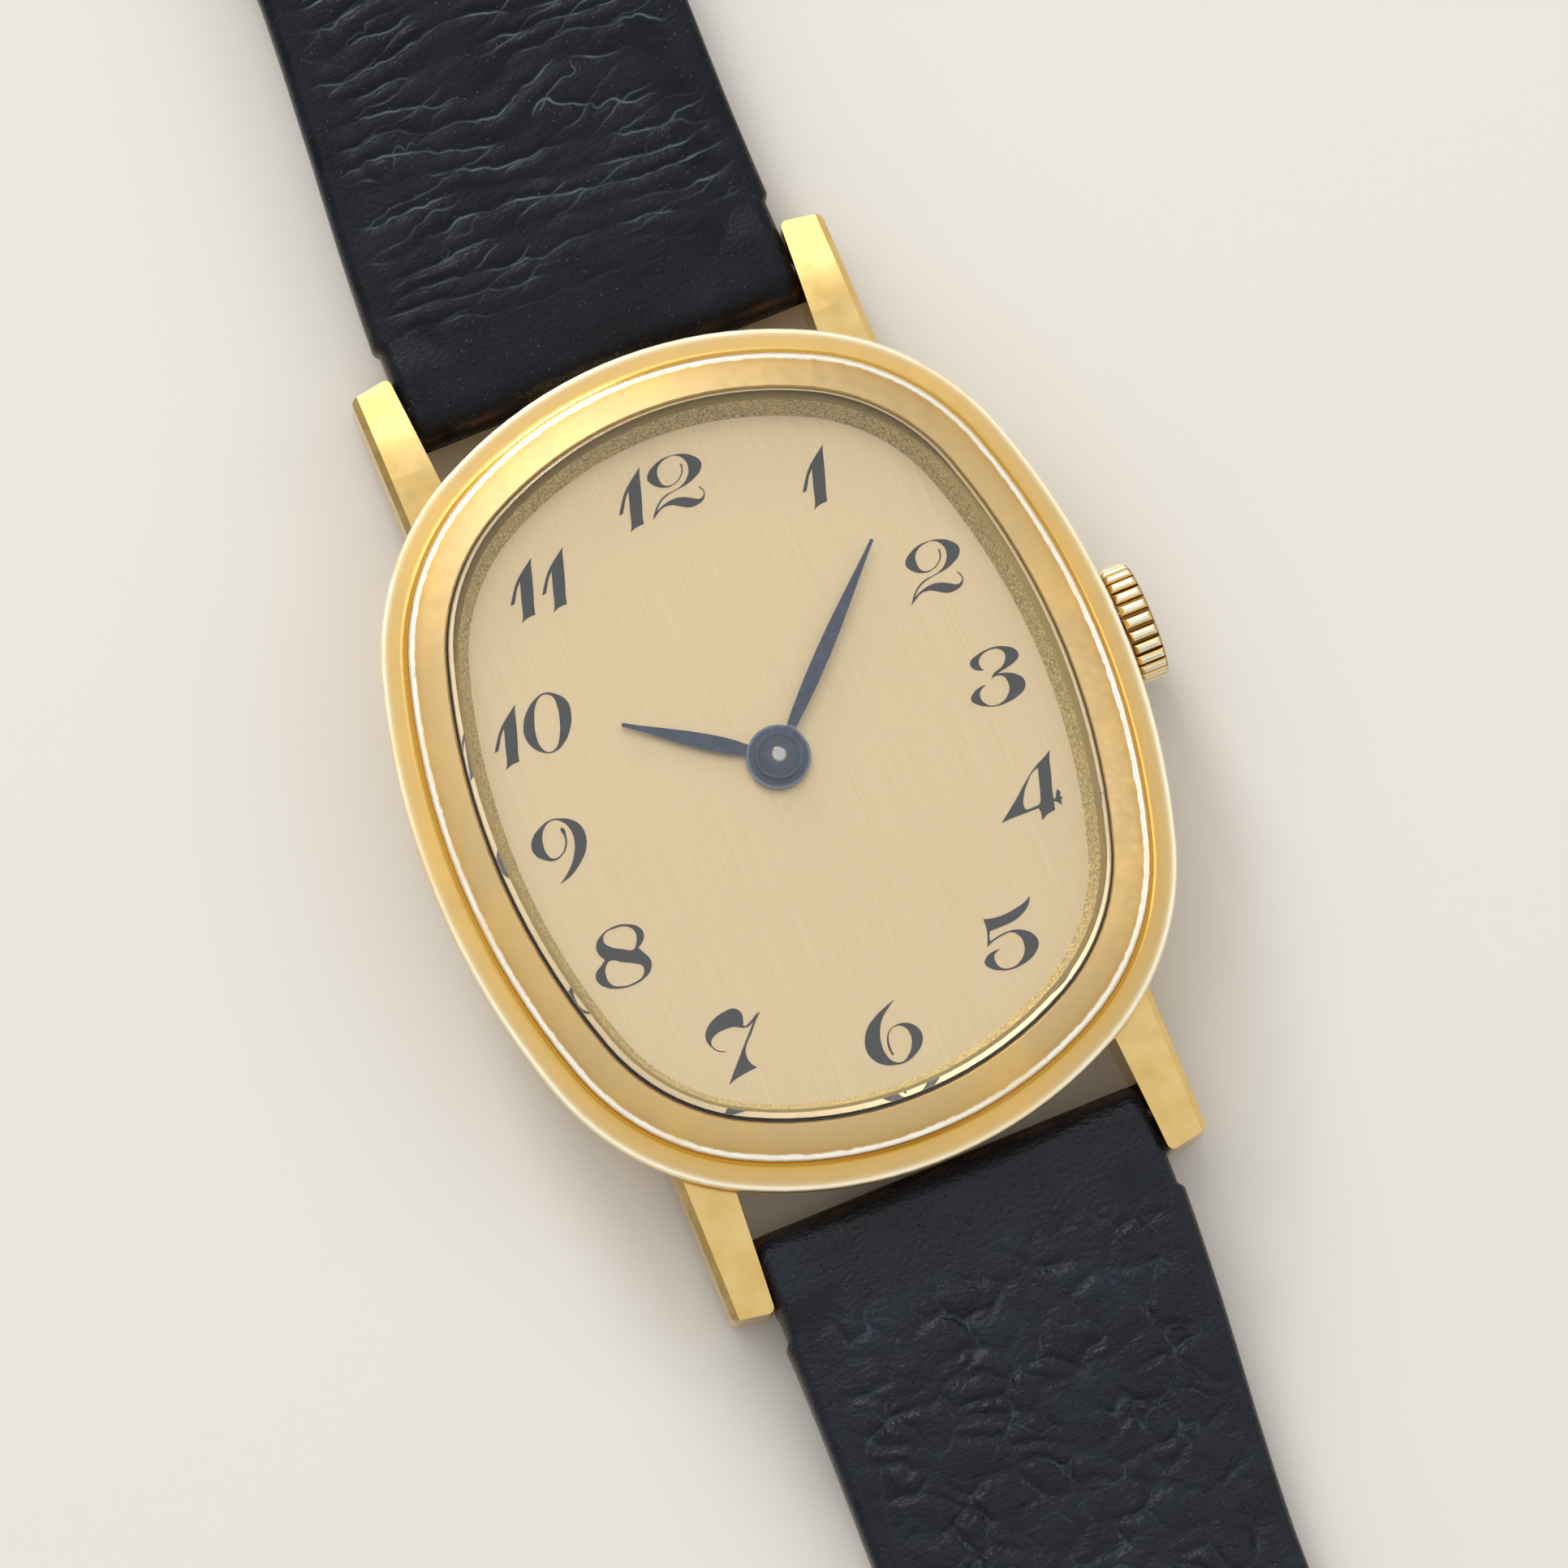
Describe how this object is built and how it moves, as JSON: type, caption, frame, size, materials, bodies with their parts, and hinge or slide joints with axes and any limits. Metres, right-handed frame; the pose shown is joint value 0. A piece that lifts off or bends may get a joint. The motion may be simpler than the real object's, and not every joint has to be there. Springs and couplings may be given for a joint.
{
  "type": "oval wristwatch",
  "caption": "Hand-wound oval dress watch with lugs, domed-edge crystal, blued hands, fluted crown and a padded leather strap with pin buckle.",
  "frame": {"origin": "centre of the case back's flat outer face, under the hands' axis", "axes": "+Z out of the dial, +Y towards 12 o'clock, +X towards 3 o'clock and the crown"},
  "size_m": [0.0258, 0.2123, 0.0059],
  "materials": {
    "gold_case": "polished yellow gold, fine wear on the rim",
    "crystal": "clear polished crystal with a bevelled edge",
    "black_seal": "matt black seal",
    "grained_ring": "grained olive gilt",
    "dial": "champagne, finely brushed along the length",
    "blued_steel": "polished blued steel",
    "steel": "fine ground steel",
    "gilt_brass": "gilt brass",
    "nickel_plate": "nickel plated, striped",
    "ruby": "synthetic ruby",
    "spring_steel": "tempered spring steel",
    "strap_leather": "creased blue-black calf, padded",
    "lining_leather": "smooth brown lining"
  },
  "bodies": {
    "case": {"case_middle": "gold_case", "bezel": "gold_case", "crystal": "crystal", "crystal_seal": "black_seal", "dial_ring": "grained_ring", "dial": "dial", "caseback": "gold_case", "caseback_gasket": "black_seal", "case_tube": "steel", "movement_ring": "nickel_plate", "main_plate": "nickel_plate", "barrel_bridge": "nickel_plate", "train_bridge": "nickel_plate", "pallet_cock": "nickel_plate", "balance_cock": "nickel_plate", "bridge_screws": "blued_steel", "jewels": "ruby", "click_spring": "spring_steel", "dial_washer": "spring_steel"},
    "minute_hand": {"minute_hand": "blued_steel", "cannon_pinion": "steel"},
    "hour_hand": {"hour_hand": "blued_steel", "hour_wheel": "gilt_brass"},
    "minute_wheel": {"minute_wheel": "gilt_brass"},
    "fourth_wheel": {"fourth_wheel": "gilt_brass"},
    "third_wheel": {"third_wheel": "gilt_brass"},
    "centre_wheel": {"centre_wheel": "gilt_brass"},
    "escape_wheel": {"escape_wheel": "steel"},
    "barrel": {"barrel": "gilt_brass", "barrel_cover": "gilt_brass", "mainspring": "spring_steel"},
    "pallet_fork": {"pallet_fork": "steel"},
    "balance": {"balance_wheel": "gilt_brass", "hairspring": "spring_steel"},
    "crown_seal": {"crown_seal": "black_seal"},
    "crown": {"crown": "gold_case", "winding_stem": "steel"},
    "winding_pinion": {"winding_pinion": "steel"},
    "crown_wheel": {"crown_wheel": "steel"},
    "ratchet": {"ratchet_wheel": "steel", "barrel_arbor": "steel"},
    "sliding_pinion": {"sliding_pinion": "steel"},
    "setting_lever": {"setting_lever": "steel"},
    "yoke": {"yoke": "steel"},
    "click": {"click": "steel"},
    "strap_12": {"strap_12_top": "strap_leather", "strap_12_lining": "lining_leather", "fixed_keeper": "strap_leather", "spring_bar_12": "steel"},
    "strap_6": {"strap_6_top": "strap_leather", "strap_6_lining": "lining_leather", "spring_bar_6": "steel"},
    "bar_tip_12_right": {"bar_tip_12_right": "steel"},
    "bar_tip_12_left": {"bar_tip_12_left": "steel"},
    "bar_tip_6_right": {"bar_tip_6_right": "steel"},
    "bar_tip_6_left": {"bar_tip_6_left": "steel"},
    "free_keeper": {"free_keeper": "strap_leather"},
    "buckle": {"buckle_frame": "gold_case", "buckle_bar": "gold_case"},
    "tongue": {"buckle_tongue": "gold_case"}
  },
  "joints": [
    {"name": "minute_hand_spin", "type": "hinge", "parent": "case", "child": "minute_hand", "pos_m": [0, 0, 0.0044], "axis": [0, 0, 1], "continuous": true},
    {"name": "minute_wheel_spin", "type": "hinge", "parent": "case", "child": "minute_wheel", "pos_m": [0.00165, -0.00139, 0.0031], "axis": [0, 0, 1], "continuous": true},
    {"name": "hour_hand_spin", "type": "hinge", "parent": "case", "child": "hour_hand", "pos_m": [0, 0, 0.0041], "axis": [0, 0, 1], "continuous": true},
    {"name": "fourth_wheel_spin", "type": "hinge", "parent": "case", "child": "fourth_wheel", "pos_m": [-0.004, -0.00269, 0.002], "axis": [0, 0, 1], "continuous": true},
    {"name": "third_wheel_spin", "type": "hinge", "parent": "case", "child": "third_wheel", "pos_m": [-0.00116, -0.00319, 0.0017], "axis": [0, 0, 1], "continuous": true},
    {"name": "centre_wheel_spin", "type": "hinge", "parent": "case", "child": "centre_wheel", "pos_m": [0, 0, 0.0025], "axis": [0, 0, 1], "continuous": true},
    {"name": "escape_wheel_spin", "type": "hinge", "parent": "case", "child": "escape_wheel", "pos_m": [-0.00524, -0.00055, 0.0017], "axis": [0, 0, 1], "continuous": true},
    {"name": "barrel_spin", "type": "hinge", "parent": "case", "child": "barrel", "pos_m": [0.0011, 0.00411, 0.002], "axis": [0, 0, 1], "continuous": true},
    {"name": "pallet_rock", "type": "hinge", "parent": "case", "child": "pallet_fork", "pos_m": [-0.00554, 0.00117, 0.0017], "axis": [0, 0, 1], "range_deg": [-5, 5]},
    {"name": "balance_swing", "type": "hinge", "parent": "case", "child": "balance", "pos_m": [-0.00479, 0.00324, 0.0014], "axis": [0, 0, 1], "range_deg": [-135, 135], "stiffness_Nm_per_rad": 0.000000005},
    {"name": "crown_pull", "type": "slide", "parent": "case", "child": "crown_seal", "axis": [1, 0, 0], "range_m": [0, 0.0008]},
    {"name": "crown_turn", "type": "hinge", "parent": "crown_seal", "child": "crown", "pos_m": [0.013, 0, 0.00235], "axis": [1, 0, 0], "continuous": true},
    {"name": "winding_pinion_spin", "type": "hinge", "parent": "case", "child": "winding_pinion", "pos_m": [0.0057, 0, 0.00235], "axis": [1, 0, 0], "continuous": true},
    {"name": "crown_wheel_spin", "type": "hinge", "parent": "case", "child": "crown_wheel", "pos_m": [0.00378, 0, 0.0014], "axis": [0, 0, 1], "continuous": true},
    {"name": "ratchet_spin", "type": "hinge", "parent": "case", "child": "ratchet", "pos_m": [0.0011, 0.00411, 0.0014], "axis": [0, 0, 1], "continuous": true},
    {"name": "sliding_pinion_slide", "type": "slide", "parent": "crown", "child": "sliding_pinion", "axis": [1, 0, 0], "range_m": [-0.0016, 0]},
    {"name": "setting_lever_turn", "type": "hinge", "parent": "case", "child": "setting_lever", "pos_m": [0.00795, -0.0015, 0.0031], "axis": [0, 0, 1], "range_deg": [-32.3, 0]},
    {"name": "yoke_turn", "type": "hinge", "parent": "case", "child": "yoke", "pos_m": [0.00475, -0.0024, 0.0033], "axis": [0, 0, 1], "range_deg": [0, 19.6]},
    {"name": "click_lift", "type": "hinge", "parent": "case", "child": "click", "pos_m": [-0.00238, 0.00598, 0.0014], "axis": [0, 0, 1], "range_deg": [0, 8]},
    {"name": "strap_12_hinge", "type": "hinge", "parent": "case", "child": "strap_12", "pos_m": [0, 0.0154, 0.002], "axis": [1, 0, 0], "range_deg": [-80, 15]},
    {"name": "strap_6_hinge", "type": "hinge", "parent": "case", "child": "strap_6", "pos_m": [0, -0.0154, 0.002], "axis": [-1, 0, 0], "range_deg": [-80, 15]},
    {"name": "bar_tip_12_right_slide", "type": "slide", "parent": "strap_12", "child": "bar_tip_12_right", "axis": [-1, 0, 0], "range_m": [0, 0.0008], "stiffness_N_per_m": 200},
    {"name": "bar_tip_12_left_slide", "type": "slide", "parent": "strap_12", "child": "bar_tip_12_left", "axis": [1, 0, 0], "range_m": [0, 0.0008], "stiffness_N_per_m": 200},
    {"name": "bar_tip_6_right_slide", "type": "slide", "parent": "strap_6", "child": "bar_tip_6_right", "axis": [-1, 0, 0], "range_m": [0, 0.0008], "stiffness_N_per_m": 200},
    {"name": "bar_tip_6_left_slide", "type": "slide", "parent": "strap_6", "child": "bar_tip_6_left", "axis": [1, 0, 0], "range_m": [0, 0.0008], "stiffness_N_per_m": 200},
    {"name": "free_keeper_slide", "type": "slide", "parent": "strap_12", "child": "free_keeper", "axis": [0, 1, 0], "range_m": [-0.008, 0.0045]},
    {"name": "buckle_hinge", "type": "hinge", "parent": "strap_12", "child": "buckle", "pos_m": [0, 0.08375, 0.0019], "axis": [1, 0, 0], "range_deg": [-60, 20]},
    {"name": "tongue_hinge", "type": "hinge", "parent": "buckle", "child": "tongue", "pos_m": [0, 0.08375, 0.0019], "axis": [1, 0, 0], "range_deg": [0, 75]}
  ],
  "couplings": [
    {"joint": "minute_wheel_spin", "follows": "minute_hand_spin", "ratio": -0.33333},
    {"joint": "hour_hand_spin", "follows": "minute_hand_spin", "ratio": 0.083333},
    {"joint": "third_wheel_spin", "follows": "fourth_wheel_spin", "ratio": -0.125},
    {"joint": "centre_wheel_spin", "follows": "fourth_wheel_spin", "ratio": 0.016667},
    {"joint": "escape_wheel_spin", "follows": "fourth_wheel_spin", "ratio": -10},
    {"joint": "barrel_spin", "follows": "fourth_wheel_spin", "ratio": -0.0022222},
    {"joint": "winding_pinion_spin", "follows": "crown_turn", "ratio": 1},
    {"joint": "crown_wheel_spin", "follows": "crown_turn", "ratio": 0.42308},
    {"joint": "ratchet_spin", "follows": "crown_turn", "ratio": -0.25},
    {"joint": "sliding_pinion_slide", "follows": "crown_pull", "ratio": -2},
    {"joint": "setting_lever_turn", "follows": "crown_pull", "rad_per_m": -703.17},
    {"joint": "yoke_turn", "follows": "crown_pull", "rad_per_m": 424.8}
  ]
}
